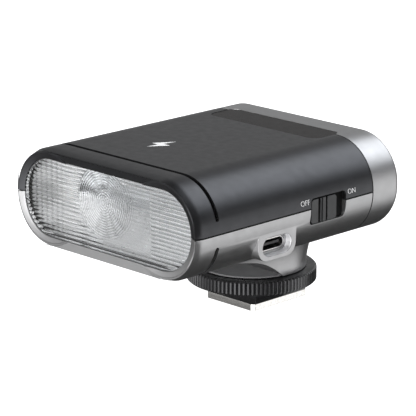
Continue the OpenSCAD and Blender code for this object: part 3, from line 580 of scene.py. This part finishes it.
def makePortLiner():
    x0, x1, wall, lip = port["x0"], port["x1"], port["wall"], port["lip"]
    # each ring's place along x and how far it is drawn in
    rings = ((x0, wall), (x1 - port["lead"] - lip, wall), (x1 - 0.06, -0.02), (x1 - 0.02, -lip),
             (x1 - 0.16, -lip), (x1 - 0.3, 0.0), (x0, 0.0))
    bm = bmesh.new()
    loops = []
    for x, shrink in rings:
        outline = pillPoints(port["width"] - 2 * shrink, port["height"] - 2 * shrink)
        loops.append([bm.verts.new((x, port["middle"][0] + y, port["middle"][1] + z)) for y, z in outline])
    for a, b in zip(loops, loops[1:] + loops[:1]):
        bridge(bm, a, b)
    return newObject("portLiner", bm)


# the port liner takes the plated finish with its painted glint
finishPiece(makePortLiner(), "body", finishes["chromeAndGlint"], smooth=50)


def roundedPoints(width, height, radius, steps=8):
    points = []
    for quarter, (sx, sz) in enumerate(((1, 1), (-1, 1), (-1, -1), (1, -1))):
        for step in range(steps + 1):
            angle = radians(90 * quarter + 90 * step / steps)
            points.append((sx * (width / 2 - radius) + radius * cos(angle),
                           sz * (height / 2 - radius) + radius * sin(angle)))
    return points


switchFloor = {"y": (-13.4, 0.2), "z": (30.45, 37.75), "x": 33.2, "thick": 0.08, "gap": 0.04,
               "cornerR": 1.28, "slotY": (-9.8, -3.4), "slotHalf": 1.65, "slotR": 0.3}


def makeSwitchFloor():
    midY, midZ = sum(switchFloor["y"]) / 2, sum(switchFloor["z"]) / 2
    slotMid, slotWide = sum(switchFloor["slotY"]) / 2, switchFloor["slotY"][1] - switchFloor["slotY"][0]
    width = switchFloor["y"][1] - switchFloor["y"][0] - switchFloor["gap"]
    height = switchFloor["z"][1] - switchFloor["z"][0] - switchFloor["gap"]
    x = switchFloor["x"] + switchFloor["thick"]
    bm = bmesh.new()
    outer = [bm.verts.new((x, midY + y, midZ + z))
             for y, z in roundedPoints(width, height, switchFloor["cornerR"])]
    inner = [bm.verts.new((x, slotMid + y, midZ + z))
             for y, z in roundedPoints(slotWide, 2 * switchFloor["slotHalf"], switchFloor["slotR"])]
    bridge(bm, outer, inner)
    thicken(bm, switchFloor["thick"] - 0.01, lambda place: Vector((-1, 0, 0)))
    return newObject("switchFloor", bm)


# painted shade: the sheet takes the near-black shade finish, darkening the recess floor
finishPiece(makeSwitchFloor(), "body", finishes["groove"])

marksSink = 0.02  # how far a mark reaches into the shell below it
switchMarks = {"height": 1.45, "baseZ": 36.45, "OFF": -15.62, "ON": 2.4, "stand": 0.05}
for word in ("OFF", "ON"):
    bm = letters(word, switchMarks["height"])
    for vert in bm.verts:
        y, z = vert.co.x + switchMarks[word], vert.co.y + switchMarks["baseZ"]
        vert.co = (sideX(z) - marksSink, y, z)
    thicken(bm, switchMarks["stand"] + marksSink, lambda place: Vector((1, 0, 0)))
    finishPiece(newObject("mark" + word.capitalize(), bm), "body", finishes["print"])

bolt = {"centre": (-4.5, -30.0), "height": 9.0, "stand": 0.012,
        "outline": ((0.10, 0.5), (-0.30, -0.06), (-0.02, -0.06), (-0.10, -0.5), (0.30, 0.10), (0.04, 0.10))}
bm = bmesh.new()
bm.faces.new([bm.verts.new((bolt["centre"][0] - x * bolt["height"], bolt["centre"][1] - y * bolt["height"],
                            body["topZ"] - marksSink)) for x, y in bolt["outline"]])
thicken(bm, bolt["stand"] + marksSink, lambda place: Vector((0, 0, 1)))
finishPiece(newObject("boltMark", bm), "body", finishes["print"])
print("marks made")

view = {"place": (438.49, -451.10, 201.80), "forward": (-0.68441, 0.67755, -0.26928), "lens": 204.8}


def makeCamera():
    data = bpy.data.cameras.new("camera")
    data.lens = view["lens"]
    data.sensor_width = 36
    data.clip_start = 0.01
    data.clip_end = 20
    camera = bpy.data.objects.new("camera", data)
    camera.location = Vector(view["place"]) * mm
    camera.rotation_euler = Vector(view["forward"]).to_track_quat("-Z", "Y").to_euler()
    scene.collection.objects.link(camera)
    scene.camera = camera


paper = {"half": 6000, "below": 0.2, "glow": 1.0}


def makeFloor():
    bm = bmesh.new()
    bmesh.ops.create_grid(bm, x_segments=1, y_segments=1, size=paper["half"])
    floor = newObject("floor", bm)
    floor.location.z = -paper["below"] * mm
    material = newMaterial("floorPaper", (0.9, 0.9, 0.9), 0.9, Emission_Color=(1, 1, 1, 1),
                           Emission_Strength=paper["glow"])
    floor.data.materials.append(material)
    floor.visible_glossy = False
    floor.visible_diffuse = False


studio = {
    "base": 0.05,
    # direction, inner and outer angle in degrees, brightness, colour
    "lights": [
        ((0.20, 0.68, 0.70), 5, 34, 3.3, (0.93, 0.96, 1.0)),
        ((0.68, 0.68, -0.27), 8, 32, 1.55, (1, 1, 1)),
        ((-0.68, -0.68, -0.27), 12, 50, 0.12, (1, 1, 1)),
        ((-0.66, -0.70, 0.27), 12, 38, 0.6, (1, 1, 1)),
        ((-0.68, 0.68, 0.27), 10, 50, 0.36, (1, 1, 1)),
        ((0.25, -0.93, 0.25), 12, 52, 2.0, (1, 1, 1)),
        ((0.25, -0.90, -0.35), 12, 52, 2.8, (1, 1, 1)),
        ((-0.20, 0.95, 0.25), 5, 16, 1.2, (1, 1, 1)),
    ],
}


def makeStudio():
    world = bpy.data.worlds.new("studio")
    scene.world = world
    world.use_nodes = True
    tree = world.node_tree
    background = tree.nodes["Background"]
    place = tree.nodes.new("ShaderNodeTexCoord")
    total = None
    for direction, inner, outer, strength, colour in studio["lights"]:
        facing = tree.nodes.new("ShaderNodeVectorMath")
        facing.operation = "DOT_PRODUCT"
        facing.inputs[1].default_value = Vector(direction).normalized()
        tree.links.new(place.outputs["Generated"], facing.inputs[0])
        spot = tree.nodes.new("ShaderNodeMapRange")
        spot.interpolation_type = "SMOOTHSTEP"
        spot.inputs["From Min"].default_value = cos(radians(outer))
        spot.inputs["From Max"].default_value = cos(radians(inner))
        spot.inputs["To Max"].default_value = strength
        tree.links.new(facing.outputs["Value"], spot.inputs["Value"])
        glow = tree.nodes.new("ShaderNodeVectorMath")
        glow.operation = "SCALE"
        glow.inputs[0].default_value = colour
        tree.links.new(spot.outputs["Result"], glow.inputs["Scale"])
        add = tree.nodes.new("ShaderNodeVectorMath")
        add.operation = "ADD"
        tree.links.new(glow.outputs["Vector"], add.inputs[0])
        if total:
            tree.links.new(total, add.inputs[1])
        else:
            add.inputs[1].default_value = [studio["base"]] * 3
        total = add.outputs["Vector"]
    tree.links.new(total, background.inputs["Color"])


makeCamera()
makeFloor()
makeStudio()
print("stage made")
